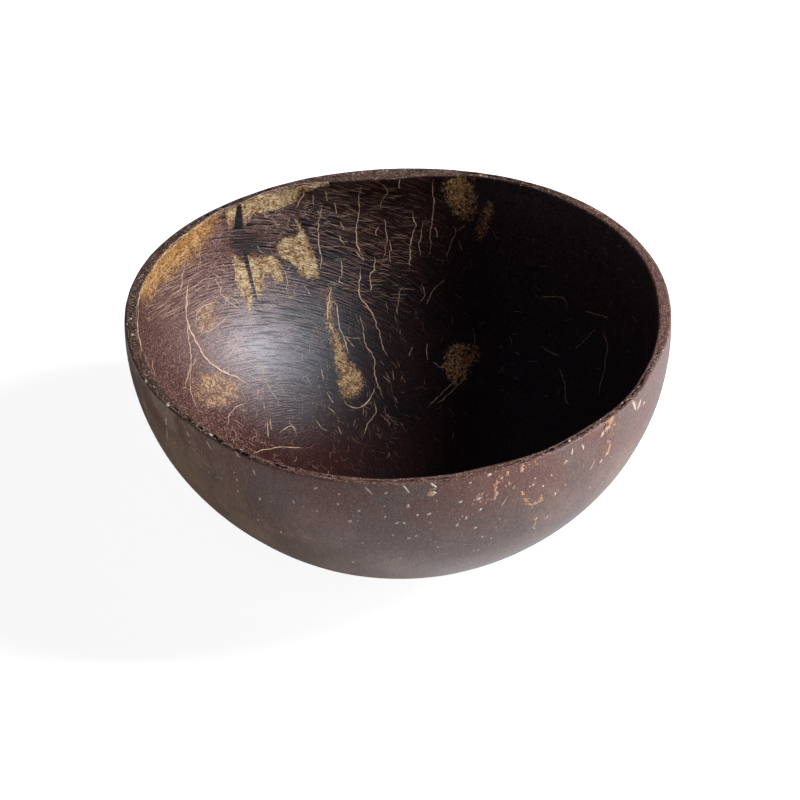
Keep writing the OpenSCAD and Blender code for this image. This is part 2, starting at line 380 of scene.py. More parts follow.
def inner_wall_look(tree):
    """Colour, roughness, height and share of oil of the scraped and sanded inner wall."""
    where, x, y, z = object_place(tree)
    blotch = add(tree, "TexNoise", {"Vector": where, "Scale": per_mm(8.0), "Detail": 6.0, "Roughness": 0.65})
    speck = add(tree, "TexNoise", {"Vector": where, "Scale": per_mm(0.36), "Detail": 2.0, "Roughness": 0.7})
    scurf = add(tree, "TexNoise", {
        "Vector": where, "Scale": per_mm(0.7), "Detail": 4.0, "Roughness": 0.75, "Distortion": 1.2,
    })
    # Growth lines: noise drawn out along them, one for the dark grooves and one for the pale ridges. Like the
    # pores, they are finer in fact, and drawn as coarse as they need to show
    grooves = add(tree, "TexNoise", {
        "Vector": grain_place(tree, 20.0), "Scale": per_mm(GROOVE_WIDTH), "Detail": 1.0, "Roughness": 0.45,
        "Distortion": 0.3,
    })
    ridges = add(tree, "TexNoise", {
        "Vector": grain_place(tree, 14.0), "Scale": per_mm(RIDGE_WIDTH), "Detail": 1.5, "Roughness": 0.5,
        "Distortion": 0.3,
    })
    # The nut is paler to the left and towards the rim, and polished dark on its floor and right
    drifted = add(tree, "Math", {0: blotch, 1: 0.02, 2: x}, operation="MULTIPLY_ADD")
    leftward = share_of(tree, 1.0, (drifted, -0.006, -0.034))
    upward = share_of(tree, 1.0, (z, 0.008, 0.036))
    left_and_up = add(tree, "Math", {0: upward, 1: 0.3, 2: leftward}, operation="MULTIPLY_ADD")
    paler_share = share_of(tree, 1.0, (left_and_up, 0.1, 1.2))
    scurfy = add(tree, "Math", {0: paler_share, 1: 0.42, 2: 0.03}, operation="MULTIPLY_ADD")
    dusty = add(tree, "Math", {0: paler_share, 1: 0.5, 2: 0.05}, operation="MULTIPLY_ADD")
    # The growth lines show at the upper back, and as furrows in the polished patch at the left back
    upper = share_of(tree, upward, (y, 0.008, 0.028), (x, 0.014, -0.006))
    polished = share_of(tree, 1.0, (x, -0.043, -0.030), (x, 0.0, -0.018), (y, 0.012, 0.024))
    scored = add(tree, "Math", {0: upper, 1: 0.8, 2: polished}, operation="MULTIPLY_ADD")
    furrowed = share_of(tree, scored, (grooves, 0.45, 0.37))
    furrow_tint = add(tree, "Math", {0: furrowed, 1: 0.7}, operation="MULTIPLY")
    ridge_tint = add(tree, "Math", {0: upper, 1: 0.6}, operation="MULTIPLY")
    colour = stained(
        tree, linear("#1b161b"),
        ("#301819", 1.0, (blotch, 0.38, 0.62)),
        # Painted shade: a blue-grey tint over the right side, which lies in the rim's shadow
        ("#3f3d4a", 1.0, (x, 0.006, 0.028)),
        ("#865a4c", paler_share),
        ("#4a1f18", 0.75, (y, 0.024, 0.008), (x, 0.002, -0.018)),
        ("#120a0b", 0.7, (speck, 0.52, 0.42)),
        ("#a37663", scurfy, (scurf, 0.53, 0.61)),
        ("#d3ab97", dusty, (speck, 0.56, 0.63)),
        ("#0c0808", furrow_tint),
        ("#9c6c5a", ridge_tint, (ridges, 0.56, 0.64)),
    )
    rough = add(tree, "MapRange", {
        "Value": scurf, "From Min": 0.38, "From Max": 0.62, "To Min": 0.40, "To Max": 0.58,
    })
    lines = add(tree, "Math", {0: ridges, 1: 0.4, 2: grooves}, operation="MULTIPLY_ADD")
    height = add(tree, "Math", {0: speck, 1: 0.5, 2: lines}, operation="MULTIPLY_ADD")
    # The oil lies thickest on the left and back, and has drained from the furrows
    undrained = add(tree, "Math", {0: furrowed, 1: -0.35, 2: 1.0}, operation="MULTIPLY_ADD")
    oil = share_of(tree, undrained, (x, 0.0, -0.023), (y, 0.004, 0.025))
    return colour, rough, height, oil


def finish(tree, colour, rough, height, bump_mm, coat=0.0, gloss=0.5):
    """Ends a material in one shader with a bump of a real depth."""
    bump = add(tree, "Bump", {"Height": height, "Strength": 1.0, "Distance": bump_mm * MM})
    shader = add(tree, "BsdfPrincipled", {
        "Base Color": colour, "Roughness": rough, "Normal": bump, "IOR": SHELL_IOR,
        "Specular IOR Level": gloss, "Coat Weight": coat, "Coat Roughness": COAT_ROUGHNESS,
    })
    add(tree, "OutputMaterial", {"Surface": shader})


def finish_oiled(tree, colour, rough, height, bump_mm, oil, coat=1.0):
    """Ends a material whose coat and gloss follow the share of oil on it."""
    weight = add(tree, "Math", {0: oil, 1: coat}, operation="MULTIPLY")
    gloss = add(tree, "Math", {0: oil, 1: OIL_GLOSS, 2: DRY_GLOSS}, operation="MULTIPLY_ADD")
    finish(tree, colour, rough, height, bump_mm, weight, gloss)


def make_inner_wall():
    # Coconut shell, scraped and sanded, rubbed with coconut oil: deep red brown with a satin sheen
    material, tree = new_material("oiled_coconut_shell_inside")
    colour, rough, height, oil = inner_wall_look(tree)
    finish_oiled(tree, colour, rough, height, 0.2, oil)
    return material


def make_cut_rim():
    # Coconut shell sawn across and sanded: dry brown end grain with fine lines that follow the rim
    material, tree = new_material("sawn_coconut_shell_rim")
    where, x, y, _ = object_place(tree)
    round_rim = ring_place(tree, (0.12, 0.12, 1.0))
    lines = add(tree, "TexNoise", {
        "Vector": round_rim, "Scale": per_mm(0.36), "Detail": 3.0, "Roughness": 0.65,
    })
    patch = add(tree, "TexNoise", {"Vector": where, "Scale": per_mm(6.0), "Detail": 5.0, "Roughness": 0.65})
    speck = add(tree, "TexNoise", {"Vector": where, "Scale": per_mm(0.36), "Detail": 2.0, "Roughness": 0.7})
    # Paler to the front right, painted light on the side that the lamp lights
    forward = add(tree, "Math", {0: x, 1: y}, operation="SUBTRACT")
    painted_light_front_right = share_of(tree, 0.3, (forward, -0.020, 0.030))
    pale = add(tree, "Math", {0: painted_light_front_right, 1: patch}, operation="ADD")
    colour = stained(
        tree, linear("#5c4232"),
        ("#855c50", 1.0, (pale, 0.42, 0.8)),
        ("#2a1c16", 0.45, (lines, 0.5, 0.41)),
        ("#a08070", 0.5, (lines, 0.53, 0.62)),
        ("#3a2820", 0.5, (speck, 0.5, 0.42)),
        ("#dcc0ac", 0.8, (speck, 0.58, 0.64)),
    )
    height = add(tree, "Math", {0: speck, 1: 0.5, 2: lines}, operation="MULTIPLY_ADD")
    finish(tree, colour, 0.58, height, 0.1, gloss=0.4)
    return material


def make_outer_wall():
    # Coconut shell ground and polished: smooth mauve brown with a soft lustre and a red tint near the rim
    material, tree = new_material("polished_coconut_shell_outside")
    where, x, _, z = object_place(tree)
    down_side = ring_place(tree, (1.0, 1.0, 0.22))
    brushed = add(tree, "TexNoise", {
        "Vector": down_side, "Scale": per_mm(0.4), "Detail": 3.0, "Roughness": 0.7, "Distortion": 0.3,
    })
    blotch = add(tree, "TexNoise", {
        "Vector": where, "Scale": per_mm(12.0), "Detail": 6.0, "Roughness": 0.65,
    })
    grit = add(tree, "TexNoise", {"Vector": where, "Scale": per_mm(0.34), "Detail": 2.0, "Roughness": 0.7})
    # Two broad tones: olive brown to the left, partly painted light on its shaded side, and mauve brown
    # elsewhere
    leftward = share_of(tree, 0.6, (x, -0.020, -0.052))
    olive_and_painted_light = add(tree, "Math", {0: leftward, 1: blotch}, operation="ADD")
    colour = stained(
        tree, linear("#84695d"),
        ("#a68878", 1.0, (blotch, 0.36, 0.64)),
        ("#ccab86", 1.0, (olive_and_painted_light, 0.5, 1.0)),
        # Painted reflection: paler towards the ground, where the wall reflects the white floor
        ("#d6cabc", 0.85, (z, 0.030, 0.006)),
        ("#86493a", 0.7, (z, 0.030, 0.046), (blotch, 0.42, 0.56)),
        ("#4a3b36", 0.3, (brushed, 0.5, 0.4)),
        ("#3c2f2b", 0.35, (grit, 0.48, 0.38)),
        ("#c4b1a8", 0.35, (grit, 0.55, 0.65)),
    )
    rough = add(tree, "MapRange", {
        "Value": blotch, "From Min": 0.3, "From Max": 0.7, "To Min": 0.34, "To Max": 0.46,
    })
    height = add(tree, "Math", {0: brushed, 1: 0.6, 2: grit}, operation="MULTIPLY_ADD")
    finish(tree, colour, rough, height, 0.03, coat=0.35)
    return material


def make_ground_base():
    # Coconut shell ground flat on a belt: matt and paler, with the belt's straight scratches
    material, tree = new_material("ground_coconut_shell_base")
    where = add(tree, "TexCoord").node.outputs["Object"]
    along_belt = add(tree, "Mapping", {"Vector": where, "Scale": (0.05, 1.0, 1.0)})
    belt = add(tree, "TexNoise", {"Vector": along_belt, "Scale": per_mm(0.5), "Detail": 5.0})
    patch = add(tree, "TexNoise", {"Vector": where, "Scale": per_mm(5.0), "Detail": 4.0})
    colour = stained(
        tree, linear("#54433a"),
        ("#6e5b4e", 1.0, (patch, 0.38, 0.62)),
        ("#33261f", 0.6, (belt, 0.5, 0.36)),
    )
    finish(tree, colour, 0.66, belt, 0.05, gloss=0.3)
    return material


def worn_share(tree, edge_px, cover, mottle, softness, grains):
    """How much of a skin is left: half at its outline, up to cover further in, broken by its grains."""
    soak = add(tree, "Attribute", attribute_name="soak").node.outputs["Fac"]
    depth = add(tree, "Math", {0: soak, 1: 0.5 / edge_px, 2: 0.5}, operation="MULTIPLY_ADD")
    capped = add(tree, "Math", {0: depth, 1: cover}, operation="MINIMUM")
    broken = share_of(tree, mottle, (grains, 0.38, 0.62))
    speckled = add(tree, "Math", {0: broken, 1: capped}, operation="ADD")
    middle = 0.5 + mottle / 2
    return share_of(tree, 1.0, (speckled, middle - softness, middle + softness))


def make_skin(name, pale, deep, glint, edge_px, cover, mottle, softness=0.1):
    """Dry inner skin of the nut that sanding left: mottled, and thinned into the wall at its edge."""
    material, tree = new_material(name)
    wall_colour, _, wall_height, oil = inner_wall_look(tree)
    where = add(tree, "TexCoord").node.outputs["Object"]
    flakes = add(tree, "TexNoise", {
        "Vector": grain_place(tree, 2.5), "Scale": per_mm(0.32), "Detail": 3.0, "Roughness": 0.7,
        "Distortion": 1.2,
    })
    fibres = add(tree, "TexNoise", {
        "Vector": where, "Scale": per_mm(1.1), "Detail": 5.0, "Roughness": 0.75, "Distortion": 2.0,
    })
    cloud = add(tree, "TexNoise", {"Vector": where, "Scale": per_mm(2.4), "Detail": 4.0, "Roughness": 0.65})
    share = worn_share(tree, edge_px, cover, mottle, softness, fibres)
    skin = stained(
        tree, linear(pale),
        (deep, 1.0, (cloud, 0.42, 0.58)),
        ("#54371f", 0.75, (flakes, 0.48, 0.40)),
        (glint, 0.85, (flakes, 0.53, 0.6)),
    )
    colour = stained(tree, wall_colour, (skin, share))
    rough = add(tree, "MapRange", {"Value": share, "To Min": 0.46, "To Max": 0.62})
    woven = add(tree, "Math", {0: fibres, 1: 0.5, 2: flakes}, operation="MULTIPLY_ADD")
    height = add(tree, "Math", {0: woven, 1: 0.5, 2: wall_height}, operation="MULTIPLY_ADD")
    bare = add(tree, "Math", {0: 1.0, 1: share}, operation="SUBTRACT")
    left_oil = add(tree, "Math", {0: oil, 1: bare}, operation="MULTIPLY")
    finish_oiled(tree, colour, rough, height, 0.12, left_oil)
    return material


def make_seam(name, edge_px, cover, mottle, tone, sheen):
    # Dense dark fibre of the nut's seam, sanded smooth: nearly black with fine streaks across it
    material, tree = new_material(name)
    wall_colour, _, wall_height, oil = inner_wall_look(tree)
    lines = add(tree, "TexNoise", {
        "Vector": grain_place(tree, 12.0), "Scale": per_mm(0.42), "Detail": 2.0, "Roughness": 0.5,
        "Distortion": 0.4,
    })
    streaked = stained(tree, linear(tone), (sheen, 1.0, (lines, 0.44, 0.56)))
    colour = stained(tree, wall_colour, (streaked, worn_share(tree, edge_px, cover, mottle, 0.15, lines)))
    height = add(tree, "Math", {0: lines, 1: 0.6, 2: wall_height}, operation="MULTIPLY_ADD")
    finish_oiled(tree, colour, 0.46, height, 0.12, oil, coat=0.35)
    return material


def make_fibre(name, dull, bright):
    # A vascular fibre of the husk, sanded through: pale straw to orange, dry, with a fine broken tone
    material, tree = new_material(name)
    where = add(tree, "TexCoord").node.outputs["Object"]
    tone = add(tree, "Attribute", attribute_name="tone").node.outputs["Fac"]
    broken = add(tree, "TexNoise", {"Vector": where, "Scale": per_mm(0.8), "Detail": 4.0, "Roughness": 0.7})
    toned = add(tree, "Math", {0: broken, 1: 0.8, 2: tone}, operation="MULTIPLY_ADD")
    colour = stained(tree, linear(dull), (bright, 1.0, (toned, 0.35, 1.2)))
    finish(tree, colour, 0.55, broken, 0.05, gloss=0.4)
    return material


inner_wall = make_inner_wall()
cut_rim = make_cut_rim()
outer_wall = make_outer_wall()
ground_base = make_ground_base()
pale_skin = make_skin("dry_pale_inner_skin", "#f6d39a", "#b98a52", "#ffefc8", 2.2, 0.8, 0.75)
tan_skin = make_skin("oiled_tan_inner_skin", "#dcb27c", "#9c7044", "#f8d8a6", 4.5, 0.74, 0.9, 0.2)
# A brighter copy of the tan skin, for the skins on the shaded floor and back: painted light
painted_light_tan_skin = make_skin("pale_tan_inner_skin_painted_light", "#f7c884", "#bd8345", "#ffe2ac", 5.0, 0.7, 1.1)
orange_skin = make_skin("orange_inner_skin", "#e6af6d", "#c08448", "#f6cd94", 11.0, 1.0, 0.6, 0.25)
red_skin = make_skin("thin_red_brown_inner_skin", "#dcae80", "#8f6549", "#f2cfa6", 6.0, 0.6, 1.0, 0.16)
seam_dark = make_seam("dark_seam_fibre", 1.4, 1.0, 0.3, "#140d0d", "#2e211f")
seam_grey = make_seam("grey_seam_fibre", 6.0, 0.8, 0.9, "#110c0d", "#4a3c3b")
husk_fibre = make_fibre("sanded_husk_fibre", "#96684f", "#f3d0aa")
hair_fibre = make_fibre("fine_hair_fibre", "#7f5746", "#f0ceb0")
fleck_fibre = make_fibre("sanded_fibre_end", "#d08a52", "#f8e6cd")

piece_from(shell_bm, "grown_shell", [inner_wall, cut_rim, outer_wall, ground_base], "shell", "shell")


# Skins: thin scales on the inner wall, cut to the outlines that the photograph shows

SKIN_STEP_PX = 0.9
SKIN_MARGIN_PX = 9.0
# Pixels from the outline over which a skin rises to its lift
SKIN_SLOPE_PX = (-2.0, 5.0)
# Millimetres: lift of a skin, of the seam and of its slits, depth of a skin's underside, rise of its edge
# and how deep its margin hides
SKIN_LIFT = 0.035
SEAM_LIFT = 0.01
SLIT_LIFT = 0.06
SKIN_SINK = 0.12
SKIN_PROUD = 0.01
SKIN_HIDE = 0.03
# Loose scraps of fewer faces are dropped
LEAST_ISLAND = 12
# Waves of a ragged edge: size in pixels, level in the noise, and share
RAGGED_WAVES = ((5.0, 3.0, 1.0), (1.9, 9.0, 0.6))
# The cut rim's crest, which skins leave bare: millimetres below the top, and least upward lean
CREST_DEPTH = 3.0
CREST_UP = 0.75

RIM_LEFT_PX = [(132, 292), (133, 274), (150, 250), (172, 230), (198, 210), (214, 201), (219, 212),
               (214, 224), (207, 237), (199, 249), (187, 260), (173, 271), (159, 284), (147, 300)]
RIM_WEDGE_PX = [(226, 211), (235.5, 206.5), (236.5, 209), (235, 216), (232, 224), (230.5, 229), (228, 221)]
RIM_BACK_PX = [(240.5, 203), (254, 198), (270, 192.5), (290, 188), (302, 185.5), (329, 181.5), (329, 184),
               (310, 189), (300, 194), (295, 201), (284, 207), (268, 211), (254, 213), (248, 217),
               (244.5, 226), (242.5, 216)]
SLIT_TOP_PX = [(237.5, 206.5), (240.5, 203.5), (241.5, 213), (243, 224), (242, 229), (233.5, 229),
               (235.5, 218)]
SEAM_PX = [(229, 230), (244, 227), (258, 232), (264, 243), (262, 254), (250, 258), (240, 256), (233, 248),
           (229, 238)]
SLIT_LOW_PX = [(243, 250), (247, 254), (250, 268), (254, 284), (259, 301), (258.5, 306), (255, 298),
               (250.5, 282), (247, 268), (243.5, 256)]
SEAM_LEFT_PX = [(233, 255.5), (238, 257), (243.5, 263), (247, 272), (250.5, 286), (251.5, 303),
                (249.5, 310.5), (245, 303), (239.5, 289), (236, 277), (233.5, 265)]
SEAM_RIGHT_PX = [(247.5, 255), (254, 259), (263, 258), (272, 255.5), (278, 260), (281, 272), (283, 281),
                 (276, 283), (273, 276), (268, 271), (264, 276), (262, 287), (259, 300), (258.5, 304),
                 (254, 287), (250, 269)]
SQUARE_PX = [(277, 249), (281, 241), (290, 237), (297, 238), (298, 232), (295.5, 222), (297, 218),
             (301, 228), (307, 238), (311, 248), (316, 260), (318.5, 278), (310, 278), (302, 274),
             (296, 266), (286, 260), (278, 255)]
TAIL_PX = [(329.5, 289), (331, 289), (330, 303), (330, 316), (332.5, 328), (338, 338), (342, 347),
           (346, 357), (351, 366), (359, 374), (363, 383), (360, 391), (353, 396), (345, 396),
           (341, 388), (340, 378), (338, 366), (336, 355), (333, 343), (329.5, 330), (328, 316),
           (328.5, 303)]
FLOOR_PX = [(446, 365), (450, 352), (455, 344), (464, 347), (475, 349), (478, 356), (470, 367), (464, 378),
            (457, 382), (450, 374)]
BACK_PX = [(446, 184), (454, 180), (464, 179), (471, 182), (473, 196), (472, 211), (466, 217), (459, 214),
           (453, 205), (448, 196)]
STRIP_PX = [(487, 203), (491, 204), (491.5, 214), (488, 224), (484, 232), (480, 239), (477, 232), (481, 221),
            (484, 211)]
SPOT_PX = [(200, 320), (203, 308), (211, 305), (216, 312), (212, 323), (205, 331), (201, 329)]
LOW_PX = [(195, 385), (204, 376), (221, 378), (236, 387), (236, 396), (224, 405), (209, 403), (199, 396)]


def depth_in(outline, x, y):
    """Distance in pixels from a point to an outline, positive inside it."""
    nearest = math.inf
    inside = False
    for (ax, ay), (bx, by) in zip(outline, outline[1:] + outline[:1]):
        length = (bx - ax) ** 2 + (by - ay) ** 2
        share = min(max(((x - ax) * (bx - ax) + (y - ay) * (by - ay)) / length, 0.0), 1.0)
        nearest = min(nearest, math.hypot(ax + share * (bx - ax) - x, ay + share * (by - ay) - y))
        if (ay > y) != (by > y) and x < (bx - ax) * (y - ay) / (by - ay) + ax:
            inside = not inside
    return nearest if inside else -nearest


def drop_islands(bm, least):
    """Deletes loose groups of fewer faces than least."""
    seen = set()
    small = []
    for start in bm.faces:
        if start in seen:
            continue
        group, stack = [], [start]
        seen.add(start)
        while stack:
            face = stack.pop()
            group.append(face)
            for edge in face.edges:
                for other in edge.link_faces:
                    if other not in seen:
                        seen.add(other)
                        stack.append(other)
        if len(group) < least:
            small += group
    bmesh.ops.delete(bm, geom=small, context="FACES")


def is_inner_wall(place, normal):
    faces_out = normal.x * place.x + normal.y * place.y > 0
    on_crest = place.z > (BOWL_H - CREST_DEPTH) * MM and normal.z > CREST_UP
    return not faces_out and not on_crest


def make_patch(name, outline, ragged_px, material, slot, node, lift=SKIN_LIFT):
    """A thin scale on the wall under an outline of the picture; soak is the depth in pixels inside it."""
    xs = [x for x, _ in outline]
    ys = [y for _, y in outline]
    left, right = min(xs) - SKIN_MARGIN_PX, max(xs) + SKIN_MARGIN_PX
    top, bottom = min(ys) - SKIN_MARGIN_PX, max(ys) + SKIN_MARGIN_PX
    wide, tall = right - left, bottom - top
    bm = bmesh.new()
    middle = Matrix.Translation(((left + right) / 2, (top + bottom) / 2, 0))
    bmesh.ops.create_grid(
        bm, x_segments=round(wide / SKIN_STEP_PX), y_segments=round(tall / SKIN_STEP_PX), size=0.5,
        matrix=middle @ Matrix.Diagonal((wide, tall, 1, 1)),
    )
    soak = bm.verts.layers.float.new("soak")
    outside = []
    for vert in bm.verts:
        x, y = vert.co.x, vert.co.y
        ragged = sum(share * noise.noise(Vector((x, y, level)) / size)
                     for size, level, share in RAGGED_WAVES)
        vert[soak] = depth_in(outline, x, y) + ragged_px * ragged
        place, normal = wall_under_pixel(x, y)
        if vert[soak] < -SKIN_MARGIN_PX or place is None or not is_inner_wall(place, normal):
            outside.append(vert)
            continue
        shown = smooth_step(-SKIN_MARGIN_PX, -SKIN_MARGIN_PX / 2, vert[soak])
        rise = shown * (SKIN_PROUD + SKIN_HIDE) - SKIN_HIDE + smooth_step(*SKIN_SLOPE_PX, vert[soak]) * lift
        vert.co = place + normal * rise * MM
    bmesh.ops.delete(bm, geom=outside, context="VERTS")
    drop_islands(bm, LEAST_ISLAND)
    bmesh.ops.recalc_face_normals(bm, faces=bm.faces[:])
    bm.normal_update()
    if sum(f.normal.dot(camera_place.translation - f.calc_center_median()) for f in bm.faces) < 0:
        bmesh.ops.reverse_faces(bm, faces=bm.faces[:])
    bmesh.ops.solidify(bm, geom=bm.faces[:], thickness=SKIN_SINK * MM)
    return piece_from(bm, name, [material], slot, node)


make_patch("tan_skin_left_rim", RIM_LEFT_PX, 1.2, orange_skin, "tan_skin", "rim_skin_left")
make_patch("pale_skin_wedge", RIM_WEDGE_PX, 0.4, pale_skin, "pale_skin", "rim_skin_wedge")
make_patch("pale_skin_back_rim", RIM_BACK_PX, 1.2, pale_skin, "pale_skin", "rim_skin_back")
make_patch("grey_seam", SEAM_PX, 1.6, seam_grey, "seam_fibre", "seam_fibre", SEAM_LIFT)
make_patch("pale_skin_seam_left", SEAM_LEFT_PX, 0.4, pale_skin, "pale_skin", "seam_skin_left")
make_patch("pale_skin_seam_right", SEAM_RIGHT_PX, 1.0, pale_skin, "pale_skin", "seam_skin_right")
make_patch("dark_seam_top", SLIT_TOP_PX, 0.2, seam_dark, "seam_fibre", "seam_fibre", SLIT_LIFT)
make_patch("dark_seam_low", SLIT_LOW_PX, 0.2, seam_dark, "seam_fibre", "seam_fibre", SLIT_LIFT)
make_patch("pale_skin_square", SQUARE_PX, 1.4, pale_skin, "pale_skin", "square_skin")
make_patch("tan_skin_tail", TAIL_PX, 1.6, tan_skin, "tan_skin", "tail_skin")
make_patch("tan_skin_floor", FLOOR_PX, 2.0, painted_light_tan_skin, "tan_skin", "floor_skin")
make_patch("tan_skin_back", BACK_PX, 2.4, painted_light_tan_skin, "tan_skin", "back_skin")
make_patch("red_skin_strip", STRIP_PX, 1.2, tan_skin, "red_skin", "back_skin_strip")
make_patch("red_skin_spot", SPOT_PX, 2.0, red_skin, "red_skin", "left_skin_spot")
make_patch("red_skin_low", LOW_PX, 2.4, red_skin, "red_skin", "left_skin_low")


# Strands: husk fibres along routes that the photograph shows, each with its half width in millimetres and
# its tone

ROUTE_STEP_PX = 1.5
# Sway of a strand: size and width of its waves in pixels, and how far apart in the noise its tone sets them
SWAYS_PX = ((5.0, 1.28, 40), (1.8, 0.72, 70))
# A strand's unevenness in width: size of its waves in pixels, level in the noise, mean and share
WIDTH_WAVE_PX = 3.0
WIDTH_LEVEL = 50.0
WIDTH_MEAN, WIDTH_SHARE = 0.8, 0.7
# It comes to its full width over a sixth of its length, from this share of it
STRAND_TIPS = 6
TIP_WIDTH = 0.25
# Least upward lean of the wall that a strand lies on, and the share of its height that stands proud
OVERHANG = -0.4
FLATTEN = 0.38
LEFT_STRANDS = [
    (0.36, 0.7, [(189, 277), (188, 286), (186, 302), (187, 318), (190, 330), (198, 346), (208, 361),
                 (222, 371), (238, 378), (249, 385)]),
    (0.16, 0.75, [(187, 318), (189, 340), (191, 362), (187, 378), (185, 388)]),
    (0.12, 0.7, [(190, 372), (190, 380), (191, 392), (197, 408)]),
    (0.10, 0.7, [(197, 358), (192, 366), (188, 376)]),
    (0.15, 0.75, [(185, 257), (183, 274), (181, 288), (173, 294)]),
    (0.12, 0.8, [(200, 250), (199, 266)]),
    (0.13, 0.85, [(195, 327), (197, 314), (202, 307), (210, 304), (218, 302), (222, 307)]),
    (0.11, 0.75, [(201, 332), (204, 323), (210, 318)]),
    (0.12, 0.8, [(207, 333), (218, 325), (226, 319), (230, 313)]),
    (0.12, 0.85, [(214, 278), (219, 286), (222, 295), (228, 298)]),
    (0.10, 0.8, [(220, 276), (222, 284), (221, 291)]),
    (0.11, 0.85, [(222, 295), (230, 303), (238, 308), (240, 314)]),
    (0.10, 0.8, [(228, 298), (235, 300), (241, 306)]),
    (0.13, 0.85, [(232, 330), (237, 341), (235, 347), (230, 354), (227, 360)]),
    (0.10, 0.8, [(235, 347), (238, 350), (242, 359), (253, 365)]),
    (0.09, 0.75, [(232, 332), (227, 342), (234, 342)]),
    (0.16, 0.65, [(147, 276), (140, 294), (138, 310), (137, 322), (139, 338), (142, 350), (147, 358)]),
    (0.11, 0.6, [(152, 359), (154, 370), (156, 378)]),
    (0.08, 1.0, [(150, 271), (163, 254.5), (176, 241), (196, 227), (216, 213), (230, 206)]),
]
BACK_STRANDS = [
    (0.07, 0.9, [(241, 203), (254, 197), (270, 191), (285, 187), (300, 184), (328, 182)]),
    (0.13, 0.75, [(362, 185), (359, 195), (359, 211), (357, 223), (356, 235), (358, 247), (364, 261)]),
    (0.10, 0.7, [(382, 184), (387, 192), (382, 201), (381, 210)]),
    (0.10, 0.7, [(384, 219), (386, 235), (387, 245)]),
    (0.10, 0.7, [(389, 241), (392, 251)]),
    (0.09, 0.6, [(385, 245), (385, 251), (384, 258)]),
    (0.09, 0.6, [(390, 251), (390, 263)]),
    (0.09, 0.65, [(379, 227), (376, 231), (376, 236)]),
    (0.12, 0.8, [(433, 179), (433, 195), (434, 207), (432, 221), (430, 235), (431, 247), (429, 255)]),
    (0.13, 0.75, [(412, 212), (414, 222), (416, 225), (411, 239), (410, 255), (409, 269)]),
    (0.09, 0.7, [(423, 222), (421, 235), (419, 245), (421, 257)]),
    (0.08, 0.6, [(435, 227), (437, 238)]),
    (0.09, 0.7, [(452, 225), (456, 231), (451, 243), (446, 258)]),
    (0.09, 0.65, [(465, 225), (457, 231)]),
    (0.08, 0.5, [(458, 239), (462, 251)]),
    (0.13, 0.8, [(375, 256), (374, 269), (370, 275), (371, 294)]),
    (0.08, 0.7, [(373, 269), (377, 271)]),
    (0.12, 0.75, [(361, 269), (359, 285), (360, 297), (368, 307), (374, 319)]),
    (0.09, 0.5, [(402, 287), (399, 295), (397, 315)]),
    (0.12, 0.8, [(322, 205), (320, 215), (318, 231), (319, 245), (321, 259), (320, 273)]),
    (0.13, 0.95, [(304, 194), (299, 202), (296, 208)]),
    (0.09, 0.8, [(313, 195), (313, 205)]),
    (0.11, 0.95, [(275, 256), (278, 263), (283, 268), (287, 279), (287, 293)]),
    (0.09, 0.85, [(257, 245), (260, 251), (264, 253)]),
    (0.09, 0.8, [(338, 235), (344, 245)]),
    (0.09, 0.8, [(340, 222), (344, 230)]),
    (0.10, 0.85, [(334, 202), (337, 214)]),
    (0.12, 0.85, [(341, 260), (342, 273), (339, 281), (344, 285)]),
    (0.09, 0.8, [(356, 251), (363, 261)]),
    (0.09, 0.7, [(304, 285), (310, 295)]),
    (0.11, 0.8, [(399, 179), (400, 189)]),
    (0.09, 0.8, [(326, 191), (327, 201)]),
]
FLOOR_STRANDS = [
    (0.14, 0.85, [(375, 388), (370, 398), (364, 405), (356, 408), (348, 405), (344, 399)]),
    (0.10, 0.75, [(360, 315), (363, 332), (366, 346), (374, 358), (375, 376), (380, 390), (384, 398)]),
    (0.09, 0.7, [(360, 304), (372, 312), (378, 330), (383, 348), (388, 358)]),
    (0.09, 0.75, [(321, 369), (323, 380)]),
    (0.11, 0.85, [(326, 392), (334, 403)]),
    (0.09, 0.8, [(329, 407), (335, 414)]),
    (0.09, 0.65, [(374, 402), (376, 412), (372, 418), (366, 428), (363, 436)]),
    (0.18, 0.95, [(333, 287), (329, 297), (328, 311), (327, 320)]),
    (0.14, 0.9, [(335, 300), (338, 316), (339, 326), (344, 338), (347, 349), (350, 356)]),
    (0.08, 0.75, [(345, 336), (354, 347)]),
    (0.07, 0.7, [(344, 336), (352, 338), (360, 338)]),
    (0.09, 0.5, [(421, 282), (425, 295), (420, 302)]),
    (0.09, 0.55, [(446, 279), (434, 289), (426, 305)]),
    (0.09, 0.85, [(430, 405), (442, 393), (455, 381)]),
    (0.09, 0.85, [(437, 404), (450, 393), (462, 381), (470, 370)]),
    (0.09, 0.8, [(434, 362), (440, 367), (447, 366)]),
    (0.09, 0.7, [(473, 328), (475, 345)]),
    (0.08, 0.6, [(427, 343), (426, 352), (428, 360)]),
    (0.08, 0.55, [(412, 347), (409, 356)]),
    (0.10, 0.85, [(248, 375), (257, 380), (261, 379)]),
    (0.09, 0.85, [(253, 357), (253, 365), (261, 366), (264, 378), (270, 390), (277, 399), (280, 408)]),
    (0.09, 0.8, [(246, 403), (236, 407), (229, 416), (228, 426)]),
    (0.08, 0.8, [(258, 388), (258, 396)]),
    (0.08, 0.75, [(264, 402), (265, 410)]),
    (0.11, 0.85, [(253, 454), (262, 450), (270, 449), (280, 447), (303, 448)]),
    (0.09, 0.75, [(279, 433), (290, 426), (295, 430), (297, 436)]),
    (0.09, 0.7, [(267, 420), (268, 438)]),
    (0.09, 0.7, [(270, 419), (271, 430)]),
    (0.08, 0.6, [(316, 420), (322, 428), (328, 431)]),
    (0.08, 0.65, [(337, 426), (342, 434)]),
    (0.08, 0.6, [(383, 376), (390, 383)]),
    (0.08, 0.55, [(393, 370), (394, 380)]),
    (0.08, 0.5, [(380, 414), (391, 424)]),
]
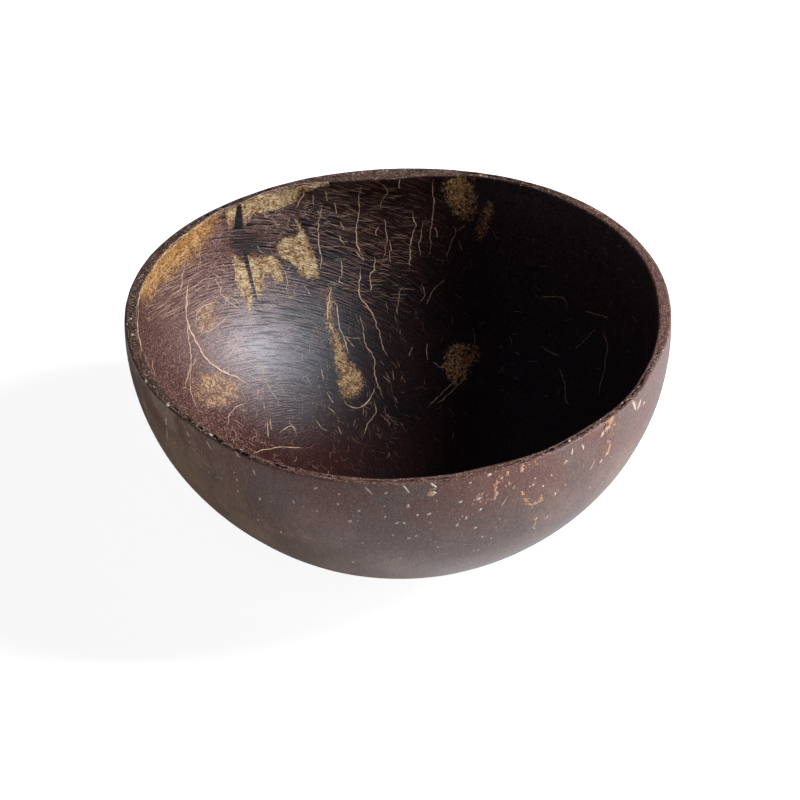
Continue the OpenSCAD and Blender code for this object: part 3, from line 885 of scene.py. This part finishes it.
RIGHT_STRANDS = [
    (0.14, 0.9, [(602, 330), (607, 345), (604, 370), (598, 395)]),
    (0.11, 0.8, [(596, 328), (585, 340), (573, 351)]),
    (0.11, 0.8, [(585, 311), (609, 318)]),
    (0.11, 0.85, [(540, 297), (563, 298), (567, 310)]),
    (0.11, 0.8, [(541, 346), (550, 352), (560, 357)]),
    (0.12, 0.85, [(559, 368), (565, 385), (566, 400), (570, 405)]),
]


def rounded_route(points):
    """Points every few pixels on a smooth curve through the given ones."""
    ends = [points[0]] + points + [points[-1]]
    route = []
    for i in range(1, len(ends) - 2):
        before, start, end, after = (Vector(p) for p in ends[i - 1:i + 3])
        count = max(int((end - start).length / ROUTE_STEP_PX), 1)
        for k in range(count):
            t = k / count
            pull = (end - before) * t + (2 * before - 5 * start + 4 * end - after) * t ** 2
            route.append(start + 0.5 * (pull + (3 * start - before - 3 * end + after) * t ** 3))
    return route + [Vector(points[-1])]


def strand_line(half_width, tone, points):
    """A strand as places on the wall, each with its half width, and its tone."""
    line = []
    route = rounded_route(points)
    for i, spot in enumerate(route):
        sway = sum(width * noise.noise(Vector((spot.x, spot.y, tone * level)) / size)
                   for size, width, level in SWAYS_PX)
        place, normal = wall_under_pixel(spot.x + sway, spot.y)
        if place is None or normal.z < OVERHANG:
            continue
        share = i / max(len(route) - 1, 1)
        taper = max(min(share * STRAND_TIPS, (1 - share) * STRAND_TIPS, 1.0), TIP_WIDTH)
        wave = noise.noise(Vector((spot.x, spot.y, WIDTH_LEVEL)) / WIDTH_WAVE_PX)
        line.append((place, half_width * MM * taper * (WIDTH_MEAN + WIDTH_SHARE * wave)))
    return line, tone


def make_strands(name, lines, material, slot, *nodes):
    """Round threads along the lines, pressed nearly flush with the wall."""
    curve = bpy.data.curves.new(name + "_curve", "CURVE")
    curve.dimensions = "3D"
    curve.bevel_depth = 1.0
    curve.bevel_resolution = 1
    curve.use_fill_caps = True
    kept = [(line, tone) for line, tone in lines if len(line) > 1]
    for line, _ in kept:
        spline = curve.splines.new("POLY")
        spline.points.add(len(line) - 1)
        for point, (place, half_width) in zip(spline.points, line):
            point.co = (*place, 1.0)
            point.radius = half_width
    holder = bpy.data.objects.new(name + "_curve", curve)
    bpy.context.scene.collection.objects.link(holder)
    bpy.context.view_layer.update()
    mesh = bpy.data.meshes.new_from_object(holder.evaluated_get(bpy.context.evaluated_depsgraph_get()))
    bpy.data.objects.remove(holder)
    bm = bmesh.new()
    bm.from_mesh(mesh)
    bmesh.ops.remove_doubles(bm, verts=bm.verts[:], dist=1e-8)
    bmesh.ops.recalc_face_normals(bm, faces=bm.faces[:])
    tone_layer = bm.verts.layers.float.new("tone")
    tone_at = nearest_tone(kept)
    for vert in bm.verts:
        vert[tone_layer] = tone_at(vert.co)
        place, normal, _, _ = shell_tree.find_nearest(vert.co)
        height = (vert.co - place).dot(normal)
        vert.co = place + (vert.co - place - normal * height) + normal * height * FLATTEN
    return piece_from(bm, name, [material], slot, *nodes)


def nearest_tone(lines):
    """A lookup of the tone of the line nearest to a place."""
    tree = KDTree(sum(len(line) for line, _ in lines))
    tones = []
    for line, tone in lines:
        for place, _ in line:
            tree.insert(place, len(tones))
            tones.append(tone)
    tree.balance()
    return lambda place: tones[tree.find(place)[1]]


for side, strands in (
    ("left", LEFT_STRANDS), ("back", BACK_STRANDS), ("floor", FLOOR_STRANDS), ("right", RIGHT_STRANDS),
):
    lines = [strand_line(*strand) for strand in strands]
    make_strands("strands_" + side, lines, husk_fibre, "fibre", side + "_strands")


# Fine fibres: short hairs sanded into the inner wall

random.seed(41)
# Millimetres along a hair from one bend to the next
HAIR_STEP = 0.4
# Least and most half width of each kind of hair, in millimetres
FIELD_WIDTHS = (0.025, 0.055)
FRONT_WIDTHS = (0.035, 0.075)
FRINGE_WIDTHS = (0.04, 0.08)
# Share of a hair's width at its ends, and the millimetres below the rim's top that hairs leave bare
HAIR_TIP = 0.4
HAIR_RIM_GAP = 0.8
# Where the photograph shows them: left, top, right and bottom pixel, count, lean from the picture's right in
# degrees and its spread, least and most length in millimetres, curl in degrees a step, least and most tone
HAIR_FIELDS_PX = [
    (300, 188, 405, 300, 260, -5, 7, 1.2, 4.2, 1, 0.1, 0.6),
    (400, 190, 440, 260, 50, -12, 12, 1.0, 3.2, 3, 0.0, 0.3),
    (205, 215, 300, 300, 320, 5, 45, 0.5, 2.0, 10, 0.3, 1.0),
    (262, 205, 330, 235, 110, -5, 30, 0.6, 2.4, 6, 0.3, 0.9),
    (142, 262, 200, 322, 120, 32, 2.5, 2.5, 7.0, 0, 0.3, 1.0),
    (140, 320, 235, 372, 110, 20, 60, 0.5, 2.0, 10, 0.0, 0.7),
    (188, 255, 245, 310, 110, -50, 45, 0.5, 2.2, 10, 0.3, 1.0),
    (225, 330, 275, 400, 50, -50, 40, 0.8, 2.8, 8, 0.2, 0.8),
    (165, 385, 300, 468, 230, 30, 80, 0.6, 2.8, 12, 0.0, 0.8),
    (300, 300, 330, 400, 50, -70, 30, 0.8, 2.4, 6, 0.0, 0.5),
    (345, 300, 405, 440, 80, -68, 18, 1.0, 3.4, 5, 0.0, 0.45),
    (300, 400, 400, 470, 130, -60, 50, 0.5, 2.4, 12, 0.0, 0.35),
    (400, 250, 480, 440, 35, -60, 40, 0.8, 3.0, 6, 0.1, 0.5),
    (490, 230, 640, 400, 50, -30, 60, 0.8, 3.0, 8, 0.3, 0.8),
]
# Loose ends round the edge of a skin: outline, count, lean and spread in degrees
FRINGES = [(TAIL_PX, 90, 200, 50), (BACK_PX, 60, -80, 40), (FLOOR_PX, 40, 190, 25), (SQUARE_PX, 40, 250, 60),
           (SEAM_RIGHT_PX, 30, 270, 50), (RIM_BACK_PX, 40, 260, 40), (SEAM_LEFT_PX, 24, 200, 30),
           (STRIP_PX, 20, -80, 30)]
# Hairs of the near wall: count, least and most turn, share of the way down, length and tone, and curl
FRONT_HAIRS = 260
FRONT_TURNS = (190, 350)
FRONT_DIPS = (0.05, 0.55)
FRONT_LENGTHS = (0.6, 2.4)
FRONT_TONES = (0.1, 0.8)
FRONT_CURL = 12
# Loose ends of the skins: least and most length and tone, and curl
FRINGE_LENGTHS = (0.5, 1.5)
FRINGE_TONES = (0.3, 0.9)
FRINGE_CURL = 10


def picture_direction(place, normal, lean_degrees):
    """The direction on the wall that the picture shows at an angle from its own right."""
    lean = math.radians(lean_degrees)
    seen = camera_turn @ Vector((math.cos(lean), math.sin(lean), 0))
    sight_plane = (place - camera_place.translation).cross(seen)
    along = normal.cross(sight_plane).normalized()
    return along if along.dot(seen) > 0 else -along


def hair_line(place, heading, length_mm, half_width, curl):
    """A hair that sets off across the wall and bends by about curl degrees a step."""
    line = []
    steps = max(int(length_mm / HAIR_STEP), 2)
    bend = random.uniform(-curl, curl)
    for i in range(steps + 1):
        taper = HAIR_TIP + (1 - HAIR_TIP) * math.sin(math.pi * i / steps)
        line.append((place.copy(), half_width * MM * taper))
        place, normal, _, _ = shell_tree.find_nearest(place + heading * HAIR_STEP * MM)
        turned = Matrix.Rotation(math.radians(bend + random.gauss(0, 1 + 1.4 * curl)), 3, normal) @ heading
        heading = (turned - normal * turned.dot(normal)).normalized()
    return line


def keep_hair(hairs, line, tone):
    if max(place.z for place, _ in line) < (BOWL_H - HAIR_RIM_GAP) * MM:
        hairs.append((line, tone))


def field_hairs():
    hairs = []
    for left, top, right, bottom, count, lean, spread, least, most, curl, dim, bright in HAIR_FIELDS_PX:
        for _ in range(count):
            place, normal = wall_under_pixel(random.uniform(left, right), random.uniform(top, bottom))
            if place is None:
                continue
            heading = picture_direction(place, normal, random.gauss(lean, spread))
            length_mm = random.uniform(least, most)
            line = hair_line(place, heading, length_mm, random.uniform(*FIELD_WIDTHS), curl)
            keep_hair(hairs, line, random.uniform(dim, bright))
    return hairs


def front_hairs():
    """Hairs on the near wall, which the photograph hides."""
    hairs = []
    for _ in range(FRONT_HAIRS):
        turn = math.radians(random.uniform(*FRONT_TURNS))
        dip = math.radians(random.uniform(*FRONT_DIPS) * 90)
        place, normal, _, _ = shell_tree.ray_cast(MIDDLE, toward(turn, dip))
        spin = Matrix.Rotation(random.uniform(0, math.tau), 3, normal)
        heading = spin @ GRAIN_AXIS.cross(normal).normalized()
        length_mm = random.uniform(*FRONT_LENGTHS)
        line = hair_line(place, heading, length_mm, random.uniform(*FRONT_WIDTHS), FRONT_CURL)
        keep_hair(hairs, line, random.uniform(*FRONT_TONES))
    return hairs


def fringe_hairs():
    hairs = []
    for outline, count, lean, spread in FRINGES:
        for _ in range(count):
            i = random.randrange(len(outline))
            (ax, ay), (bx, by) = outline[i - 1], outline[i]
            share = random.random()
            place, normal = wall_under_pixel(ax + (bx - ax) * share, ay + (by - ay) * share)
            if place is None:
                continue
            heading = picture_direction(place, normal, random.gauss(lean, spread))
            length_mm = random.uniform(*FRINGE_LENGTHS)
            line = hair_line(place, heading, length_mm, random.uniform(*FRINGE_WIDTHS), FRINGE_CURL)
            keep_hair(hairs, line, random.uniform(*FRINGE_TONES))
    return hairs


make_strands("fine_hairs", field_hairs(), hair_fibre, "fibre")
make_strands("fine_hairs_near_wall", front_hairs(), hair_fibre, "fibre")
make_strands("skin_fringes", fringe_hairs(), husk_fibre, "fibre")


# Flecks: fibre ends sanded through on the outer wall and the rim

# A fleck's half thickness, and the most that it stands proud or sinks, in millimetres
FLECK_RISE = 0.03
FLECK_LIMIT = 0.05
# Its outline's mean size, unevenness and waves round it
FLECK_MEAN, FLECK_RAGGED, FLECK_WAVES = 0.95, 0.9, 1.5


def add_fleck(bm, place, normal, along, long_mm, wide_mm, tone, layer):
    """A thin oval scale, half sunk in the wall."""
    side = normal.cross(along).normalized()
    turn = Matrix((along.normalized(), side, normal)).transposed().to_4x4()
    size = Matrix.Diagonal((long_mm * MM / 2, wide_mm * MM / 2, FLECK_RISE * MM, 1.0))
    made = bmesh.ops.create_icosphere(bm, subdivisions=2, radius=1.0)["verts"]
    seed = Vector((random.uniform(0, 90), random.uniform(0, 90), 0))
    for vert in made:
        uneven = FLECK_MEAN + FLECK_RAGGED * noise.noise(vert.co * FLECK_WAVES + seed)
        vert.co = Vector((vert.co.x * uneven, vert.co.y * uneven, vert.co.z))
        vert[layer] = tone
    bmesh.ops.transform(bm, matrix=Matrix.Translation(place) @ turn @ size, verts=made)
    for vert in made:
        near, out, _, _ = shell_tree.find_nearest(vert.co)
        above = (vert.co - near).dot(out)
        vert.co = near + out * max(min(above, FLECK_LIMIT * MM), -FLECK_LIMIT * MM)


# Ovals and dashes that the photograph shows outside: pixel, length and width in millimetres, lean in
# degrees, tone
OUTER_SPOTS_PX = [
    (431, 494, 1.9, 0.9, 10, 0.5), (507, 474, 1.1, 0.8, 90, 0.25), (521, 470, 1.4, 0.9, 90, 0.3),
    (478, 499, 1.3, 0.6, 20, 0.9), (496, 494, 1.0, 0.6, 60, 0.4), (610, 421, 3.6, 1.4, 55, 0.2),
    (607, 428, 2.0, 1.0, 30, 0.35), (609, 448, 1.7, 0.5, 70, 0.4), (606, 455, 1.6, 0.5, 50, 0.4),
    (602, 435, 1.4, 0.8, 60, 0.5), (634, 405, 3.0, 0.9, 110, 0.5), (639, 405, 2.2, 0.7, 70, 0.6),
    (644, 403, 0.8, 0.7, 0, 0.9), (522, 494, 1.3, 0.5, 100, 0.15),
    (524.5, 500, 1.3, 0.6, 120, 0.2), (529, 504.5, 1.4, 0.6, 165, 0.25), (534, 504, 1.4, 0.7, 20, 0.3),
    (539, 500, 1.8, 0.9, 50, 0.2), (541, 496, 0.8, 0.5, 70, 0.3), (496, 484, 1.4, 0.7, 80, 0.15),
    (495, 490, 1.2, 0.6, 100, 0.2), (494, 499, 1.0, 0.5, 40, 0.4), (536, 519, 1.5, 0.6, 65, 0.4),
    (534, 525, 2.2, 0.35, 60, 0.4), (369, 491, 2.4, 0.35, 135, 0.7), (406, 489, 2.2, 0.35, 130, 0.7),
    (433, 485, 1.8, 0.4, 145, 0.6), (504, 502, 2.8, 0.3, 55, 0.5), (592, 466, 2.9, 0.35, 60, 0.8),
    (565, 463, 1.6, 0.6, 45, 0.45), (583, 447, 1.5, 0.5, 105, 0.8), (572, 452, 1.5, 0.5, 80, 0.7),
    (460, 502, 0.8, 0.5, 20, 0.9), (480, 510, 0.9, 0.5, 40, 0.9), (489, 475, 0.9, 0.6, 30, 0.8),
    (408, 506, 0.9, 0.5, 80, 0.8), (385, 517, 0.7, 0.5, 60, 0.8), (547, 517, 0.8, 0.4, 60, 0.7),
    (555, 494, 0.9, 0.5, 80, 0.8), (464, 480, 0.9, 0.5, 140, 0.9), (454, 478, 0.8, 0.5, 130, 0.9),
    (470, 483, 0.6, 0.4, 20, 0.8), (533, 485, 0.6, 0.4, 60, 0.8), (543, 486, 0.6, 0.4, 40, 0.8),
    (601, 461, 0.9, 0.6, 50, 0.9), (652, 361, 1.2, 0.6, 90, 0.7), (339, 494, 0.7, 0.4, 0, 0.9),
    (359, 511, 0.8, 0.5, 20, 0.9), (338, 504, 0.7, 0.5, 100, 0.8), (350, 521, 0.9, 0.6, 10, 0.9),
    (386, 493, 0.8, 0.4, 10, 0.8), (429, 514, 0.9, 0.5, 20, 0.9), (417, 515, 0.6, 0.4, 0, 0.8),
    (404, 523, 0.8, 0.4, 150, 0.8), (397, 523, 0.9, 0.5, 20, 0.7), (393, 535, 0.7, 0.4, 100, 0.8),
    (409, 538, 0.8, 0.5, 0, 0.9), (416, 536, 0.7, 0.4, 50, 0.8), (457, 525, 0.9, 0.5, 60, 0.8),
    (466, 518, 0.8, 0.5, 60, 0.8), (475, 528, 0.8, 0.5, 40, 0.8), (438, 547, 0.7, 0.4, 60, 0.7),
    (400, 558, 0.7, 0.5, 0, 0.8), (353, 562, 0.8, 0.6, 100, 0.7), (478, 550, 0.6, 0.4, 0, 0.6),
    (482, 537, 0.8, 0.4, 130, 0.7), (145, 405, 4.6, 0.4, 112, 1.0), (166, 421, 2.6, 0.9, 92, 1.0),
    (167, 434, 3.4, 0.4, 92, 1.0), (210, 447, 2.6, 0.45, 120, 1.0), (188, 434, 1.1, 0.5, 110, 1.0),
    (238, 455, 1.8, 0.4, 140, 0.9), (254, 472, 1.6, 0.4, 110, 0.6), (237, 480, 0.8, 0.5, 90, 0.8),
    (238, 491, 0.7, 0.5, 90, 0.7), (260, 499, 0.8, 0.5, 60, 0.8), (258, 520, 0.7, 0.4, 60, 0.7),
    (281, 532, 0.7, 0.5, 60, 0.7), (316, 488, 0.9, 0.4, 20, 0.8), (294, 502, 0.7, 0.4, 60, 0.7),
    (317, 511, 0.7, 0.4, 60, 0.7), (273, 468, 0.8, 0.5, 30, 0.8), (664, 342, 2.4, 0.5, 95, 0.4),
]
# Loose orange clusters: pixel, spread in pixels and count
FLECK_CLUSTERS_PX = [
    (609, 423, 3.5, 24), (611, 433, 2.5, 9), (609, 442, 1.8, 8), (606, 452, 2.0, 8), (496, 486, 2.0, 12),
    (496, 494, 2.0, 8), (507, 486, 4.0, 12), (522, 468, 2.2, 9), (524, 494, 1.2, 8), (527, 501, 1.4, 8),
    (533, 505, 1.4, 9), (540, 499, 1.6, 12), (532, 462, 2.5, 7), (636, 404, 2.5, 8), (432, 492, 2.2, 7),
    (238, 455, 2.5, 7), (535, 519, 1.8, 6), (478, 500, 3.0, 8), (533, 530, 1.6, 5), (486, 497, 3.0, 6),
]
# A cluster's flecks: least and most length and tone, and middle and spread of their lean
CLUSTER_LENGTHS = (0.35, 0.9)
CLUSTER_TONES = (-0.1, 0.5)
CLUSTER_LEAN = (60, 40)
# Scattered flecks: least and most width and tone, spread of length, most width as a share of length
FLECK_WIDTHS = (0.2, 0.45)
FLECK_TONES = (0.3, 1.0)
FLECK_STRETCH = (0.8, 1.3)
FLECK_ROUND = 0.6
# How they crowd towards the rim, and how far down they reach
FLECK_CROWD = 1.4
FLECK_REACH = 0.8
# Most upward lean of the wall outside
OUTER_LEAN = 0.3
# Turns of the outside that the photograph shows, where only small ones are added to its own flecks
SEEN_TURNS = (196, 352)
SEEN_SIZES = (0.3, 0.35, 0.45)
HIDDEN_SIZES = (0.5, 0.7, 0.9, 1.3, 2.4)
FLECK_COUNT = 620


def outer_place(turn, dip):
    """A place on the outer wall by turn and dip, and its normal."""
    aim = toward(turn, dip)
    return shell_tree.ray_cast(MIDDLE + aim * 2 * BELLY_R * MM, -aim)[:2]


def make_flecks():
    bm = bmesh.new()
    tone = bm.verts.layers.float.new("tone")
    spots = OUTER_SPOTS_PX + [
        (random.gauss(x, spread), random.gauss(y, spread), random.uniform(*CLUSTER_LENGTHS),
         random.uniform(*FLECK_WIDTHS), random.gauss(*CLUSTER_LEAN), random.uniform(*CLUSTER_TONES))
        for x, y, spread, count in FLECK_CLUSTERS_PX for _ in range(count)
    ]
    for x, y, long_mm, wide_mm, lean, shade in spots:
        place, normal = wall_under_pixel(x, y)
        if place is not None and normal.z < OUTER_LEAN:
            along = picture_direction(place, normal, lean)
            add_fleck(bm, place, normal, along, long_mm, wide_mm, shade, tone)
    for _ in range(FLECK_COUNT):
        turn = random.uniform(0, 360)
        depth = random.random() ** FLECK_CROWD * FLECK_REACH
        place, normal = outer_place(math.radians(turn), math.radians(depth * 90))
        seen = SEEN_TURNS[0] < turn < SEEN_TURNS[1]
        long_mm = random.choice(SEEN_SIZES if seen else HIDDEN_SIZES) * random.uniform(*FLECK_STRETCH)
        wide_mm = min(long_mm * FLECK_ROUND, random.uniform(*FLECK_WIDTHS))
        spin = Matrix.Rotation(math.radians(random.uniform(0, 180)), 3, normal)
        along = spin @ normal.orthogonal().normalized()
        add_fleck(bm, place, normal, along, long_mm, wide_mm, random.uniform(*FLECK_TONES), tone)
    return piece_from(bm, "flecks_outside", [fleck_fibre], "fleck", "outer_flecks")


make_flecks()

# Pale fibre ends in the cut rim: turn in degrees, length and width in millimetres
RIM_SPOTS = [(181, 0.8, 0.6), (187, 0.9, 0.5), (196, 1.0, 0.5), (204, 1.3, 0.6), (214, 1.2, 0.6),
             (228, 1.0, 0.6), (236, 0.8, 0.5), (92, 0.7, 0.4), (100, 0.6, 0.4), (70, 0.7, 0.4),
             (305, 0.7, 0.4), (322, 0.8, 0.4)]
RIM_SPECKS = 90
SPECK_LENGTHS = (0.2, 0.5)
SPECK_WIDTHS = (0.12, 0.25)
RIM_TONES = (0.4, 1.0)
# Millimetres below the top within which a place is on the rim
RIM_DROP = 1.5
# Millimetres in from the widest radius between which the rim's flecks lie
RIM_BAND = (0.5, 2.2)


def make_rim_flecks():
    bm = bmesh.new()
    tone = bm.verts.layers.float.new("tone")
    spots = RIM_SPOTS + [
        (random.uniform(0, 360), random.uniform(*SPECK_LENGTHS), random.uniform(*SPECK_WIDTHS))
        for _ in range(RIM_SPECKS)
    ]
    for turn, long_mm, wide_mm in spots:
        heading = math.radians(turn)
        radius = BELLY_R - random.uniform(*RIM_BAND)
        above = Vector((radius * math.cos(heading), radius * math.sin(heading), BOWL_H + 5)) * MM
        place, normal, _, _ = shell_tree.ray_cast(above, Vector((0, 0, -1)))
        if place is None or place.z < (BOWL_H - RIM_DROP) * MM:
            continue
        along = Vector((-math.sin(heading), math.cos(heading), 0))
        add_fleck(bm, place, normal, along, long_mm, wide_mm, random.uniform(*RIM_TONES), tone)
    return piece_from(bm, "flecks_rim", [fleck_fibre], "fleck")


make_rim_flecks()


# Floor, lamp and world

KEY_TURN = math.radians(-2)
KEY_RISE = math.radians(37)
KEY_AWAY = 0.9
KEY_SIDE = 0.27
KEY_WATTS = 9.5
FLOOR_SIDE = 6.0
FLOOR_GLOW = 0.9


def make_floor():
    bm = bmesh.new()
    bmesh.ops.create_grid(bm, x_segments=1, y_segments=1, size=FLOOR_SIDE / 2)
    mesh = bpy.data.meshes.new("floor")
    bm.to_mesh(mesh)
    bm.free()
    floor = bpy.data.objects.new("floor", mesh)
    bpy.context.scene.collection.objects.link(floor)
    # Matt white paper, whose lit part reads as white to the camera
    material, tree = new_material("white_paper_floor")
    seen = add(tree, "LightPath").node.outputs["Is Camera Ray"]
    strength = add(tree, "Math", {0: seen, 1: FLOOR_GLOW}, operation="MULTIPLY")
    paper = add(tree, "BsdfDiffuse", {"Color": linear("#ececec")})
    glow = add(tree, "Emission", {"Color": linear("#ffffff"), "Strength": strength})
    add(tree, "OutputMaterial", {"Surface": add(tree, "AddShader", {0: paper, 1: glow})})
    mesh.materials.append(material)


def make_lamp():
    lamp = bpy.data.lights.new("window", "AREA")
    lamp.shape = "SQUARE"
    lamp.size = KEY_SIDE
    lamp.energy = KEY_WATTS
    lamp.color = linear("#f1f4ff")[:3]
    window = bpy.data.objects.new("window", lamp)
    away = toward(KEY_TURN, -KEY_RISE)
    window.location = away * KEY_AWAY + Vector((0, 0, BOWL_H / 2 * MM))
    window.rotation_euler = away.to_track_quat("Z", "Y").to_euler()
    bpy.context.scene.collection.objects.link(window)


def make_room():
    """Pale low walls round the table under a dark ceiling, and plain white to the camera."""
    world = bpy.data.worlds.new("room")
    bpy.context.scene.world = world
    world.use_nodes = True
    tree = world.node_tree
    tree.nodes.clear()
    seen = add(tree, "LightPath").node.outputs["Is Camera Ray"]
    sight = add(tree, "TexCoord").node.outputs["Generated"]
    rise = add(tree, "SeparateXYZ", {"Vector": sight}).node.outputs["Z"]
    colour = stained(tree, linear("#2a2c35"), ("#d8d3cc", 1.0, (rise, 0.24, 0.0)), ("#ffffff", seen))
    back = add(tree, "Background", {"Color": colour, "Strength": 1.0})
    add(tree, "OutputWorld", {"Surface": back})


make_floor()
make_lamp()
make_room()
bpy.context.scene.view_settings.view_transform = "Standard"
